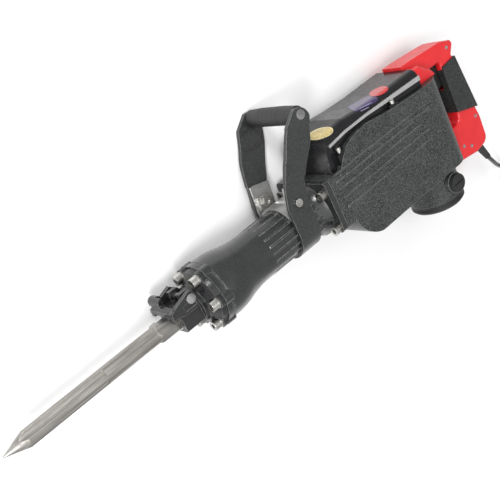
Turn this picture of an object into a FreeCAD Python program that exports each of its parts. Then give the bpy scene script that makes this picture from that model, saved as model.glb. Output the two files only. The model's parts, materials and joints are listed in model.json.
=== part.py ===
import FreeCAD, Part

import math
import os

import Sketcher
from FreeCAD import Placement, Rotation, Vector

# Electric demolition hammer with a 30 mm hexagonal tool socket, a fluted point chisel, a turnable side
# handle and a closed rear handle. Millimetres. The hammer axis is the X axis: -X is the chisel, +X the rear
# handle, +Y the top cover, and Z runs across the tool, which lies on its -Z side as it is put down on a floor.
# The origin is the centre of the tool socket's mouth.

doc = FreeCAD.newDocument("DemolitionHammer")
sheet = doc.addObject("Spreadsheet::Sheet", "Dims")


class Size:
    """A number together with the spreadsheet expression that it comes from."""

    def __init__(self, value, text):
        self.value = float(value)
        self.text = text

    def joined(self, other, sign, value):
        return Size(value, f"({self.text} {sign} {size(other).text})")

    def __add__(self, other):
        return self.joined(other, "+", self.value + size(other).value)

    def __sub__(self, other):
        return self.joined(other, "-", self.value - size(other).value)

    def __mul__(self, other):
        return self.joined(other, "*", self.value * size(other).value)

    def __truediv__(self, other):
        return self.joined(other, "/", self.value / size(other).value)

    def __neg__(self):
        return Size(-self.value, f"(0 - {self.text})")

    def __radd__(self, other):
        return size(other) + self

    def __rsub__(self, other):
        return size(other) - self

    def __rmul__(self, other):
        return size(other) * self


def size(value):
    return value if isinstance(value, Size) else Size(value, f"{value}")


class Dimensions:
    """The driving dimensions, one attribute for each alias of the sheet."""


DRIVING = [
    ("tip_x", -327, "chisel point"),
    ("chisel_rear_x", 83, "inner end of the chisel"),
    ("hex_flats", 30, "hexagonal shank, across flats"),
    ("chisel_r", 14.3, "round chisel body"),
    ("shank_x", -40, "start of the hexagonal shank"),
    ("nose_half_z", 25, "half width of the nose block"),
    ("nose_top", 22, "top of the nose block"),
    ("nose_low", 21, "depth of the nose block under the axis"),
    ("cover_x", 58, "front of the cover plate"),
    ("case_x", 66, "joint of front cover and cylinder case"),
    ("rim_r", 56, "radius of the front rim"),
    ("front_bolt_circle_r", 46.8, "radius of the front bolts' circle"),
    ("boss_r", 13, "lugs under the front bolts"),
    ("neck_r", 44, "radius of the neck"),
    ("neck_x", 174, "start of the neck"),
    ("flange_x", 322, "front of the cylinder case's rear flange"),
    ("flange_joint_x", 333, "joint of cylinder case and crankcase"),
    ("flange_rear_x", 345, "rear of the crankcase's front flange"),
    ("flange_top", 54, "top of the flange"),
    ("flange_low", 42, "depth of the flange under the axis"),
    ("flange_bolt_y", 33.2, "flange bolts above and below the axis"),
    ("flange_bolt_z", 52.7, "flange bolts to each side of the axis"),
    ("half_width", 66, "half width of the crankcase"),
    ("wall", 6.5, "crankcase wall"),
    ("case_rear_x", 668, "rear wall of the crankcase"),
    ("case_low", 87, "depth of the crankcase under the axis"),
    ("case_top", 82, "top edge of the crankcase at its rear"),
    ("rear_corner_r", 44, "rounding of the rear corners"),
    ("bore_r", 25, "bore of the cylinder liner"),
    ("liner_r", 31, "outside of the cylinder liner"),
    ("fit", 0.05, "radial running clearance"),
    ("crank_x", 474.5, "crankshaft axis"),
    ("crank_throw", 20, "crank radius"),
    ("gear_x", 547, "intermediate shaft axis"),
    ("motor_x", 605, "motor axis"),
    ("drum_r", 53, "motor housing outside"),
    ("drum_low", 142, "joint of motor housing and end cover"),
    ("end_low", 158, "bottom of the end cover"),
    ("brush_y", -113, "brush axis"),
    ("rest_z", 70, "half width over the arms and brush caps"),
    ("cover_front_x", 352, "front of the top cover"),
    ("cover_top", 122, "top of the top cover"),
    ("cover_half_z", 56, "half width of the top cover"),
    ("cover_rear_x", 616, "rear end of the top cover"),
    ("strap_front_x", 247, "front edge of the handle strap's band"),
    ("strap_rear_x", 292, "rear edge of the handle strap's band"),
    ("strap_t", 5, "thickness of the strap"),
    ("clamp_bolt_y", 50, "clamp bolts above the hammer axis"),
    ("clamp_bolt_x", 270, "clamp bolts along the hammer axis"),
    ("side_grip_x", 333, "side grip axis along the hammer axis"),
    ("side_grip_y", 178, "side grip axis above the hammer axis"),
    ("handle_half_z", 24, "half width of the rear handle"),
    ("grip_front_x", 712, "front of the rear grip"),
    ("cord_d", 9, "cord diameter"),
]

dims = Dimensions()
for row, (alias, number, meaning) in enumerate(DRIVING, start=1):
    sheet.set(f"A{row}", meaning)
    sheet.set(f"B{row}", f"{number}")
    sheet.setAlias(f"B{row}", alias)
    setattr(dims, alias, Size(number, f"Dims.{alias}"))
doc.recompute()

pieces = []


# ---------------------------------------------------------------- helpers

DIRECTIONS = {
    "X": Vector(1, 0, 0),
    "-X": Vector(-1, 0, 0),
    "Y": Vector(0, 1, 0),
    "-Y": Vector(0, -1, 0),
    "Z": Vector(0, 0, 1),
    "-Z": Vector(0, 0, -1),
}


def bind(target, prop, amount):
    """Set a property to an amount, tied to the sheet where the amount comes from it."""
    amount = size(amount)
    if "Dims." in amount.text:
        target.setExpression(prop, amount.text)
    elif not prop.startswith("."):
        setattr(target, prop, amount.value)


def place(target, at, along="Z", turn=0):
    """Put an object at a point, with its own Z axis along a direction."""
    spin = Rotation(Vector(0, 0, 1), turn)
    aim = Rotation(Vector(0, 0, 1), DIRECTIONS[along])
    target.Placement = Placement(Vector(*[size(v).value for v in at]), aim.multiply(spin))
    for letter, amount in zip("xyz", at):
        bind(target, f".Placement.Base.{letter}", amount)
    return target


def cylinder(radius, length, at, along="Z"):
    made = doc.addObject("Part::Cylinder", "Cylinder")
    bind(made, "Radius", radius)
    bind(made, "Height", length)
    return place(made, at, along)


def cone(radius_a, radius_b, length, at, along="Z"):
    made = doc.addObject("Part::Cone", "Cone")
    bind(made, "Radius1", radius_a)
    bind(made, "Radius2", radius_b)
    bind(made, "Height", length)
    return place(made, at, along)


def torus(ring_r, wire_r, at, along="Z"):
    made = doc.addObject("Part::Torus", "Torus")
    bind(made, "Radius1", ring_r)
    bind(made, "Radius2", wire_r)
    return place(made, at, along)


def sphere(radius, at):
    made = doc.addObject("Part::Sphere", "Sphere")
    bind(made, "Radius", radius)
    return place(made, at)


def hexagon(flats, length, at, along="Z", turn=0):
    made = doc.addObject("Part::Prism", "Hexagon")
    made.Polygon = 6
    bind(made, "Circumradius", size(flats) * (0.5 / math.cos(math.radians(30))))
    bind(made, "Height", length)
    return place(made, at, along, turn)


def box(low, high):
    made = doc.addObject("Part::Box", "Box")
    for prop, a, b in zip(("Length", "Width", "Height"), low, high):
        bind(made, prop, size(b) - size(a))
    return place(made, low)


def fuse(*shapes):
    made = doc.addObject("Part::MultiFuse", "Union")
    made.Shapes = list(shapes)
    return made


def cut(base, *tools):
    made = doc.addObject("Part::Cut", "Difference")
    made.Base = base
    made.Tool = tools[0] if len(tools) == 1 else fuse(*tools)
    return made


def common(a, b):
    made = doc.addObject("Part::Common", "Common")
    made.Base = a
    made.Tool = b
    return made


def group(*solids):
    made = doc.addObject("Part::Compound", "Group")
    made.Links = list(solids)
    return made


def tube(outer, inner, length, at, along="Z"):
    return cut(cylinder(outer, length, at, along), cylinder(inner, length, at, along))


def edge_numbers(shape, wanted):
    """Numbers of the edges whose two ends and middle all satisfy a test."""
    found = []
    for number, edge in enumerate(shape.Edges, start=1):
        middle = edge.valueAt((edge.FirstParameter + edge.LastParameter) / 2)
        ends = [vertex.Point for vertex in edge.Vertexes]
        if all(wanted(point) for point in [middle, *ends]):
            found.append(number)
    return found


def rounded(base, radius, wanted):
    """Part fillet on the chosen edges."""
    doc.recompute()
    made = doc.addObject("Part::Fillet", "Rounded")
    made.Base = base
    made.Edges = [(n, radius, radius) for n in edge_numbers(base.Shape, wanted)]
    return made


def piece(made, name):
    """Name a finished sub-part."""
    made.Label = name
    pieces.append(made)
    return made


def new_body(name):
    made = doc.addObject("PartDesign::Body", "Body")
    return piece(made, name)


def origin_item(body, role):
    return next(item for item in body.Origin.OriginFeatures if item.Role == role)


def add_loop(sketch, points):
    """A closed loop through (x, y) points; (x, y, r) reaches its point by an arc, left-handed when r > 0."""
    first = sketch.GeometryCount
    count = len(points)
    ends = [Vector(size(p[0]).value, size(p[1]).value, 0) for p in points]
    for i in range(count):
        start, end = ends[i], ends[(i + 1) % count]
        arrival = points[(i + 1) % count]
        if len(arrival) == 2:
            sketch.addGeometry(Part.LineSegment(start, end), False)
            continue
        radius = size(arrival[2]).value
        chord = end - start
        half = chord.Length / 2
        side = Vector(-chord.y, chord.x, 0).normalize() * math.copysign(1, radius)
        centre = start + chord / 2 + side * math.sqrt(max(radius * radius - half * half, 0))
        bulge = centre - side * abs(radius)
        corners = (start, bulge, end) if radius > 0 else (end, bulge, start)
        sketch.addGeometry(Part.Arc(*corners), False)
    for i in range(count):
        joined = (i + 1) % count
        here = sketch.Geometry[first + i]
        there = sketch.Geometry[first + joined]
        end_of_here = 2 if here.EndPoint.isEqual(ends[joined], 1e-6) else 1
        start_of_there = 1 if there.StartPoint.isEqual(ends[joined], 1e-6) else 2
        link = Sketcher.Constraint("Coincident", first + i, end_of_here, first + joined, start_of_there)
        sketch.addConstraint(link)
    for i, point in enumerate(points):
        geometry = sketch.Geometry[first + i]
        start_at = 1 if geometry.StartPoint.isEqual(ends[i], 1e-6) else 2
        for kind, axis, amount in (("DistanceX", -2, point[0]), ("DistanceY", -1, point[1])):
            amount = size(amount)
            if amount.value == 0:
                sketch.addConstraint(Sketcher.Constraint("PointOnObject", first + i, start_at, axis))
                continue
            rule = Sketcher.Constraint(kind, -1, 1, first + i, start_at, amount.value)
            tie_constraint(sketch, rule, amount)
        if len(point) == 3:
            radius = abs(size(point[2]).value)
            sketch.addConstraint(Sketcher.Constraint("Radius", first + (i - 1) % count, radius))


def tie_constraint(sketch, rule, amount):
    index = sketch.addConstraint(rule)
    if "Dims." in amount.text:
        sketch.setExpression(f"Constraints[{index}]", amount.text)


def add_circle(sketch, x, y, radius):
    x, y, radius = size(x), size(y), size(radius)
    number = sketch.addGeometry(Part.Circle(Vector(x.value, y.value, 0), Vector(0, 0, 1), radius.value), False)
    tie_constraint(sketch, Sketcher.Constraint("Radius", number, radius.value), radius)
    for kind, axis, amount in (("DistanceX", -2, x), ("DistanceY", -1, y)):
        if amount.value == 0:
            sketch.addConstraint(Sketcher.Constraint("PointOnObject", number, 3, axis))
        else:
            tie_constraint(sketch, Sketcher.Constraint(kind, -1, 1, number, 3, amount.value), amount)


def sketch_on(body, plane, loops=(), circles=(), offset=0):
    """Sketch on one of the body's own origin planes, moved along the plane's normal."""
    made = body.newObject("Sketcher::SketchObject", "Sketch")
    made.AttachmentSupport = [(origin_item(body, f"{plane}_Plane"), "")]
    made.MapMode = "FlatFace"
    made.AttachmentOffset = Placement(Vector(0, 0, size(offset).value), Rotation())
    bind(made, ".AttachmentOffset.Base.z", offset)
    for points in loops:
        add_loop(made, points)
    for x, y, radius in circles:
        add_circle(made, x, y, radius)
    return made


def extrude(body, kind, profile, length, both=False, back=False):
    """Pad or Pocket; both makes it symmetric about the sketch and back turns it round."""
    made = body.newObject(f"PartDesign::{kind}", kind)
    made.Profile = profile
    bind(made, "Length", length)
    made.SideType = "Symmetric" if both else "One side"
    made.Reversed = back
    return checked(body, made, kind)


def checked(body, made, kind):
    """Recompute, and see that a pad adds material and a pocket takes some away."""
    before = made.BaseFeature.Shape.Volume if made.BaseFeature else 0
    doc.recompute()
    if made.Shape.isNull():
        raise RuntimeError(f"{body.Label}: {made.Label} is empty, {made.State} {made.Profile[0].State}")
    change = made.Shape.Volume - before
    expected = change if kind == "Pad" else -change
    if expected < 0.5:
        raise RuntimeError(f"{body.Label}: {made.Label} changed the volume by {change:.1f}")
    return made


def revolve(body, profile, axis="H_Axis"):
    made = body.newObject("PartDesign::Revolution", "Revolution")
    made.Profile = profile
    made.ReferenceAxis = (profile, [axis])
    made.Angle = 360
    doc.recompute()
    if made.Shape.isNull():
        raise RuntimeError(f"{body.Label}: {made.Label} is empty, {made.State} {profile.State}")
    return made


def turned_copies(body, features, role, count):
    made = body.newObject("PartDesign::PolarPattern", "Pattern")
    made.Originals = features
    made.Axis = (origin_item(body, role), [""])
    made.Angle = 360
    made.Occurrences = count
    body.Tip = made
    doc.recompute()
    return made


def fillet(body, radius, wanted):
    doc.recompute()
    base = body.Tip
    names = [f"Edge{n}" for n in edge_numbers(base.Shape, wanted)]
    made = body.newObject("PartDesign::Fillet", "Fillet")
    made.Base = (base, names)
    bind(made, "Radius", radius)
    doc.recompute()
    return made


def rectangle(x0, y0, x1, y1):
    return [(x0, y0), (x1, y0), (x1, y1), (x0, y1)]


def around(count, radius, start=0):
    """(y, z) places on a circle about the hammer axis."""
    for i in range(count):
        angle = math.radians(start + 360 / count * i)
        yield size(radius) * math.sin(angle), size(radius) * math.cos(angle)


def socket_screw(at, along, shank_r, shank_l, head_r, head_l):
    """Cap screw whose head sits at a point and whose shank runs the other way along its axis."""
    opposite = along[1:] if along.startswith("-") else "-" + along
    head = cylinder(head_r, head_l, at, along)
    shank = cylinder(shank_r, size(shank_l), at, opposite)
    step = DIRECTIONS[along] * (head_l * 0.45)
    key = hexagon(head_r * 0.95, head_l, [size(a) + s for a, s in zip(at, step)], along)
    return cut(fuse(head, shank), key)


def gear_face(module, teeth, backlash, turn):
    """Face of an involute spur gear in the XZ plane about the Y axis, 20 degree pressure angle."""
    pitch_r = module * teeth / 2
    base_r = pitch_r * math.cos(math.radians(20))
    tip_r = pitch_r + module * 0.95
    root_r = pitch_r - module * 1.25
    half_tooth = math.pi / (2 * teeth) - backlash / (2 * pitch_r)

    def involute(radius):
        roll = math.sqrt(max((radius / base_r) ** 2 - 1, 0))
        return roll - math.atan(roll)

    flank_low = max(base_r, root_r)
    radii = [flank_low + (tip_r - flank_low) * k / 4 for k in range(5)]
    corners = []
    for tooth in range(teeth):
        middle = math.radians(turn) + 2 * math.pi * tooth / teeth
        spread = [half_tooth + involute(pitch_r) - involute(r) for r in radii]
        polar = [(root_r, middle - spread[0])]
        polar += [(r, middle - s) for r, s in zip(radii, spread)]
        polar += [(r, middle + s) for r, s in reversed(list(zip(radii, spread)))]
        polar += [(root_r, middle + spread[0])]
        corners += [Vector(r * math.cos(a), 0, -r * math.sin(a)) for r, a in polar]
    return Part.Face(Part.makePolygon([*corners, corners[0]]))


def gear(module, teeth, width, backlash, turn, bore_r):
    """Spur gear about the Y axis from y = 0 to its width, with a bore where bore_r > 0."""
    solid = gear_face(module, teeth, backlash, turn).extrude(Vector(0, width, 0))
    if bore_r:
        solid = solid.cut(Part.makeCylinder(bore_r, width, Vector(), Vector(0, 1, 0)))
    return solid


def shape_feature(shape, at):
    made = doc.addObject("Part::Feature", "Solid")
    made.Shape = shape
    made.Placement = Placement(Vector(*at), Rotation())
    return made


# ---------------------------------------------------------------- chisel and its holder

d = dims
retainer_pivot = (26, 28)
retainer_bar_x = (-13, -5)


def make_chisel():
    rear = cylinder(14, d.chisel_rear_x - 50, (50, 0, 0), "X")
    shank = hexagon(d.hex_flats, 58 - d.shank_x, (d.shank_x, 0, 0), "X")
    shank = common(shank, cone(14.5, 40, 60, (d.shank_x - 3, 0, 0), "X"))
    point = cone(1.5, d.chisel_r, -287 - d.tip_x, (d.tip_x, 0, 0), "X")
    front = cylinder(d.chisel_r, -36 - size(-287), (-287, 0, 0), "X")
    solid = fuse(front, rear, shank, point)
    flute_r, flute_depth, flute_start = 13, 3.6, -153
    tools = []
    for y, z in around(4, d.chisel_r + flute_r - flute_depth, 45):
        tools.append(cylinder(flute_r, flute_start + 160 - d.tip_x - 150, (d.tip_x, y, z), "X"))
        tools.append(sphere(flute_r, (flute_start, y, z)))
    notch = box((-29, 11, -20), (-4.6, 20, 20))
    return piece(cut(solid, *tools, notch), "chisel")


def make_front_cover():
    body = new_body("front_cover")
    nose = [(-d.nose_low, -d.nose_half_z), (d.nose_top, -d.nose_half_z),
            (d.nose_top, d.nose_half_z), (-d.nose_low, d.nose_half_z)]
    extrude(body, "Pad", sketch_on(body, "YZ", [nose]), d.cover_x + 2)
    fillet(body, 4, lambda p: abs(abs(p.z) - 25) < 0.1 and (abs(p.y - 22) < 0.1 or abs(p.y + 21) < 0.1))
    collar = sketch_on(body, "XY", [[(38, 0), (38, 34), (46, 34), (d.cover_x, 50), (d.case_x, 52), (d.case_x, 0)]])
    revolve(body, collar)
    boss = sketch_on(body, "YZ", circles=[(0, d.front_bolt_circle_r, d.boss_r - 1)], offset=57)
    pad = extrude(body, "Pad", boss, d.case_x - 57)
    turned_copies(body, [pad], "X_Axis", 6)
    bore = sketch_on(body, "YZ", circles=[(0, 0, 19.5)])
    extrude(body, "Pocket", bore, d.case_x, back=True)
    hole = sketch_on(body, "YZ", circles=[(0, d.front_bolt_circle_r, 6.2)], offset=40)
    pocket = extrude(body, "Pocket", hole, 40, back=True)
    turned_copies(body, [pocket], "X_Axis", 6)
    seat = sketch_on(body, "YZ", circles=[(0, d.front_bolt_circle_r, 10.3)], offset=40)
    pocket = extrude(body, "Pocket", seat, 17, back=True)
    turned_copies(body, [pocket], "X_Axis", 6)
    lug = [(16, 18), (40, 18), (40, 30), (34, 38), (18, 38), (16, 30)]
    for z in (-19, 11):
        extrude(body, "Pad", sketch_on(body, "XY", [lug], offset=z), 8)
    pivot = sketch_on(body, "XY", circles=[(*retainer_pivot, 5.05)])
    extrude(body, "Pocket", pivot, 90, both=True)
    return body


def make_socket_parts():
    sleeve = cut(cylinder(19.5, 60, (0, 0, 0), "X"), hexagon(d.hex_flats + 0.7, 60, (0, 0, 0), "X"))
    piece(sleeve, "hex_sleeve")
    piece(tube(19.5, 18, 6, (60, 0, 0), "X"), "dust_seal")
    head = cylinder(8, 2.5, (*retainer_pivot, 34.2), "Z")
    shank = cylinder(5, 68.4, (*retainer_pivot, -34.2), "Z")
    clip = cylinder(7.5, 2, (*retainer_pivot, -36.2), "Z")
    piece(fuse(head, shank, clip), "retainer_pin")


def make_retainer():
    x, y = retainer_pivot
    arms = []
    outline = [(-15, 13), (-3, 13), (4, 9), (30, 9), (37, 17), (36, 34), (30, 40), (4, 32), (-10, 27), (-15, 24)]
    body = doc.addObject("PartDesign::Body", "Body")
    for z in (-33.5, 25.5):
        extrude(body, "Pad", sketch_on(body, "XY", [outline], offset=z), 8)
    bridge = [(-15, 17.6), (-0.5, 17.6), (-0.5, 27), (-6, 30), (-12, 28), (-15, 25)]
    extrude(body, "Pad", sketch_on(body, "XY", [bridge]), 60, both=True)
    knob = fuse(cylinder(9.5, 30, (0, 31, -38), "Z"), sphere(9.5, (0, 31, -38)))
    bar = box((retainer_bar_x[0], 11.4, -12), (retainer_bar_x[1], 20, 12))
    window = box((8, 14, 31.5), (32, 24, 34))
    solid = cut(fuse(body, knob, bar), cylinder(5.06, 80, (x, y, -40), "Z"), window, nose_clearance())
    return piece(solid, "tool_retainer")


def nose_clearance():
    """Room for the nose block and its lugs behind the retainer's bridge, and for its swing."""
    sweep = cylinder(26.5, 51, (*retainer_pivot, -25.5), "Z")
    front = box((-0.5, -30, -25.5), (60, 60, 25.5))
    return common(front, fuse(sweep, box((-0.5, -30, -25.5), (44, 60, 25.5))))


def make_front_fasteners():
    bolts = []
    washers = []
    for y, z in around(6, d.front_bolt_circle_r):
        bolts.append(socket_screw((54.5, y, z), "-X", 5.9, 40, 8.6, 12))
        washers.append(tube(9.8, 6.2, 2.5, (54.5, y, z), "X"))
    piece(group(*bolts), "front_bolts")
    piece(group(*washers), "front_washers")


# ---------------------------------------------------------------- percussion line


def make_cylinder_case():
    body = new_body("cylinder_case")
    outside = [
        (d.case_x, 36), (d.case_x, d.rim_r), (76, d.rim_r), (77, d.rim_r - 1.5), (79, d.rim_r - 1.5),
        (80, d.rim_r), (92, d.rim_r), (127, d.rim_r - 4.8, -130), (176, d.neck_r + 0.5, 182), (300, d.neck_r - 0.5),
        (d.flange_x, 52, 40), (d.flange_joint_x, 52), (d.flange_joint_x, d.liner_r), (160, d.liner_r), (160, 36),
    ]
    revolve(body, sketch_on(body, "XY", [outside]))
    boss = sketch_on(body, "YZ", circles=[(0, d.front_bolt_circle_r, d.boss_r)], offset=d.case_x)
    pad = extrude(body, "Pad", boss, 16)
    turned_copies(body, [pad], "X_Axis", 6)
    bore = sketch_on(body, "YZ", circles=[(0, 0, 36)], offset=d.case_x)
    extrude(body, "Pocket", bore, 20, back=True)
    hole = sketch_on(body, "YZ", circles=[(0, d.front_bolt_circle_r, 5.95)], offset=d.case_x)
    pocket = extrude(body, "Pocket", hole, 32, back=True)
    turned_copies(body, [pocket], "X_Axis", 6)
    flange = sketch_on(body, "YZ", [rectangle(-d.flange_low, -d.half_width, d.flange_top, d.half_width)],
                       circles=[(0, 0, d.liner_r)], offset=d.flange_x)
    extrude(body, "Pad", flange, d.flange_joint_x - d.flange_x)
    fillet(body, 9, lambda p: abs(abs(p.z) - 66) < 0.1 and p.x > 321 and (abs(p.y - 54) < 0.1 or abs(p.y + 42) < 0.1))
    flange_holes(body, d.flange_x, 11, 6.2)
    rib = sketch_on(body, "XY", [[(186, d.neck_r - 2), (190, d.neck_r + 1.2), (316, d.neck_r + 1.2), (318, d.neck_r - 2)]])
    pad = extrude(body, "Pad", rib, 3, both=True)
    turned_copies(body, [pad], "X_Axis", 20)
    low = d.neck_r + 0.7
    band = sketch_on(body, "XY", [[(236, low), (236, d.neck_r + 8), (299, d.neck_r + 8), (299, low)]])
    groove = body.newObject("PartDesign::Groove", "Groove")
    groove.Profile = band
    groove.ReferenceAxis = (band, ["H_Axis"])
    groove.Angle = 360
    checked(body, groove, "Groove")
    return body


def flange_holes(body, start, depth, radius):
    places = [(y, z, radius) for y in (-d.flange_bolt_y, d.flange_bolt_y) for z in (-d.flange_bolt_z, d.flange_bolt_z)]
    extrude(body, "Pocket", sketch_on(body, "YZ", circles=places, offset=start), depth, back=True)


def make_percussion_line():
    guide = cut(cylinder(35.95, 84, (d.case_x, 0, 0), "X"), tube(32, 22, 60, (76, 0, 0), "X"),
                cylinder(17 + d.fit, 84, (d.case_x, 0, 0), "X"), cylinder(19, 32, (d.case_x, 0, 0), "X"))
    piece(guide, "impact_guide")
    impact = fuse(cylinder(14, 20, (83.4, 0, 0), "X"), cylinder(17, 66, (100, 0, 0), "X"),
                  cylinder(15, 20, (163, 0, 0), "X"))
    piece(impact, "impact_bolt")
    piece(tube(36, 20, 10, (150, 0, 0), "X"), "damper_ring")
    piece(tube(d.liner_r, d.bore_r, 240, (160, 0, 0), "X"), "cylinder_liner")
    running = d.bore_r - d.fit
    striker = fuse(cylinder(running, 52, (209, 0, 0), "X"), cylinder(15, 12, (199, 0, 0), "X"))
    piece(cut(striker, tube(30, d.bore_r - 2.5, 3, (236, 0, 0), "X")), "striker")
    piece(tube(running, d.bore_r - 2.5, 3, (236, 0, 0), "X"), "striker_ring")
    piston = cut(cylinder(running, 44, (322, 0, 0), "X"), cylinder(19, 34, (334, 0, 0), "X"),
                 cylinder(6, 80, (350, -40, 0), "Y"))
    piece(piston, "piston")
    piece(cylinder(6, 48, (350, -24, 0), "Y"), "wrist_pin")


def make_connecting_rod():
    pin_x = d.crank_x + d.crank_throw
    eye = cylinder(10, 14, (350, -7, 0), "Y")
    big_end = cylinder(16, 16, (pin_x, -8, 0), "Y")
    beam = box((354, -6, -5), (pin_x - 6, 6, 5))
    rod = cut(fuse(eye, big_end, beam), cylinder(6 + d.fit, 30, (350, -15, 0), "Y"),
              cylinder(9, 40, (pin_x, -20, 0), "Y"))
    piece(rod, "connecting_rod")
    pin = fuse(cylinder(9, 21, (pin_x, -8, 0), "Y"), cylinder(12, 2.5, (pin_x, -10.5, 0), "Y"))
    piece(pin, "crank_pin")


# ---------------------------------------------------------------- gears and crankshaft

crank_module, crank_teeth, pinion_teeth = 2.5, 45, 13
wheel_module, wheel_teeth, motor_teeth = 2.0, 48, 10


def make_gear_train():
    disc = cylinder(30, 8, (d.crank_x, 14, 0), "Y")
    weight = common(cylinder(30, 3, (d.crank_x, 22, 0), "Y"), box((430, 20, -40), (d.crank_x - 6, 30, 40)))
    journal = cylinder(10, 35.5, (d.crank_x, 22, 0), "Y")
    tail = cylinder(7.5, 15, (d.crank_x, 57, 0), "Y")
    piece(fuse(disc, weight, journal, tail), "crankshaft")
    big = gear(crank_module, crank_teeth, 14, 0.25, 0, 10)
    piece(shape_feature(big, (d.crank_x.value, 40, 0)), "crank_gear")
    mesh_turn = 180 + 180 / pinion_teeth
    pinion = gear(crank_module, pinion_teeth, 14, 0.25, mesh_turn, 0)
    shaft = Part.makeCylinder(7.5, 52, Vector(0, -14, 0), Vector(0, 1, 0))
    piece(shape_feature(pinion.fuse(shaft), (d.gear_x.value, 40, 0)), "gear_shaft")
    wheel_turn = 0
    wheel = gear(wheel_module, wheel_teeth, 10, 0.25, wheel_turn, 7.5)
    piece(shape_feature(wheel, (d.gear_x.value, 58, 0)), "gear_wheel")
    motor_pinion = gear(wheel_module, motor_teeth, 12, 0.25, 180 + 180 / motor_teeth, 0)
    rod = Part.makeCylinder(6, 185, Vector(0, -185, 0), Vector(0, 1, 0))
    nub = Part.makeCylinder(6, 8.5, Vector(0, 12, 0), Vector(0, 1, 0))
    end = Part.makeCylinder(5, 22, Vector(0, -205, 0), Vector(0, 1, 0))
    piece(shape_feature(motor_pinion.fuse([rod, nub, end]), (d.motor_x.value, 57, 0)), "armature_shaft")


def ball_bearing(bore_radius, outer_radius, width, at):
    """Inner ring, outer ring and balls as separate solids; the shaft runs in the inner ring."""
    middle = (size(bore_radius) + outer_radius) / 2
    ball = (outer_radius - bore_radius) * 0.24
    x, y, z = at
    rings = [tube(outer_radius, middle + ball * 0.75, width, at, "Y"),
             tube(middle - ball * 0.75, bore_radius + 0.03, width, at, "Y")]
    groove = torus(middle, ball + 0.02, (x, size(y) + width / 2, z), "Y")
    balls = []
    for i in range(7):
        angle = 2 * math.pi * i / 7
        spot = (x + middle * math.cos(angle), size(y) + width / 2, size(z) + middle * math.sin(angle))
        balls.append(sphere(ball - 0.02, spot))
    return [cut(ring, groove) for ring in rings] + balls


def make_bearings():
    gears = ball_bearing(10, 21, 12, (d.crank_x, 26, 0)) + ball_bearing(7.5, 17.5, 11, (d.crank_x, 60.5, 0))
    gears += ball_bearing(7.5, 17.5, 10, (d.gear_x, 27, 0)) + ball_bearing(7.5, 17.5, 10, (d.gear_x, 70, 0))
    piece(group(*gears), "gear_bearings")
    motor = ball_bearing(6, 14, 8, (d.motor_x, 70, 0)) + ball_bearing(5, 13, 8, (d.motor_x, -146.5, 0))
    piece(group(*motor), "motor_bearings")


def make_carriers():
    inner = d.half_width - d.wall
    plate = box((436, 26, -inner), (586, 38, inner))
    plate = cut(plate, cylinder(21, 12, (d.crank_x, 26, 0), "Y"), cylinder(17.5, 12, (d.gear_x, 26, 0), "Y"))
    piece(plate, "gear_carrier")
    lid = fuse(box((436, 71.5, -52), (612, 79, 52)),
               cylinder(21, 12, (d.crank_x, 60, 0), "Y"))
    lid = cut(lid, cylinder(17.5, 11, (d.crank_x, 60.5, 0), "Y"), cylinder(17.5, 10, (d.gear_x, 70, 0), "Y"),
              cylinder(14, 8.5, (d.motor_x, 70, 0), "Y"), cylinder(8, 20, (d.crank_x, 55, 0), "Y"))
    piece(lid, "gear_cover")


# ---------------------------------------------------------------- motor


def make_motor():
    x = d.motor_x
    piece(tube(31, 6, 52, (x, -66, 0), "Y"), "armature_core")
    piece(tube(17, 6, 24, (x, -125, 0), "Y"), "commutator")
    hub = tube(12, 6, 12, (x, -6, 0), "Y")
    blades = []
    disc = tube(44, 6, 2, (x, 4, 0), "Y")
    for i in range(12):
        blade = box((-1, 0, 9), (1, 11, 42))
        spin = Rotation(Vector(0, 1, 0), 30 * i)
        blade.Placement = Placement(Vector(x.value, -6, 0) + spin.multVec(Vector(-1, 0, 9)), spin)
        blades.append(blade)
    piece(fuse(hub, disc, *blades), "cooling_fan")
    piece(tube(47, 32, 52, (x, -66, 0), "Y"), "stator_core")
    ends = [tube(45, 33, 7.4, (x, y, 0), "Y") for y in (-73.4, -14)]
    piece(group(*ends), "field_coils")


def make_motor_housing():
    body = new_body("motor_housing")
    top = -d.case_low
    profile = [(48.2, top), (d.drum_r, top), (d.drum_r, -d.drum_low), (13, -d.drum_low), (13, -136), (48.2, -136)]
    outline = [(d.motor_x + a, b) for a, b in profile]
    ring = sketch_on(body, "XY", [outline])
    axis = ring.addGeometry(Part.LineSegment(Vector(605, -200, 0), Vector(605, 0, 0)), True)
    ring.addConstraint(Sketcher.Constraint("Vertical", axis))
    index = ring.addConstraint(Sketcher.Constraint("DistanceX", -1, 1, axis, 1, d.motor_x.value))
    ring.setExpression(f"Constraints[{index}]", d.motor_x.text)
    made = body.newObject("PartDesign::Revolution", "Revolution")
    made.Profile = ring
    made.ReferenceAxis = (ring, ["Axis0"])
    made.Angle = 360
    doc.recompute()
    boss = sketch_on(body, "XY", circles=[(d.motor_x, d.brush_y, 20)])
    extrude(body, "Pad", boss, 2 * (d.rest_z - 8), both=True)
    clear = sketch_on(body, "XZ", circles=[(d.motor_x, 0, 48.2)], offset=d.case_low)
    extrude(body, "Pocket", clear, 49, back=True)
    bore = sketch_on(body, "XY", circles=[(d.motor_x, d.brush_y, 10)])
    extrude(body, "Pocket", bore, 160, both=True)
    return body


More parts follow.
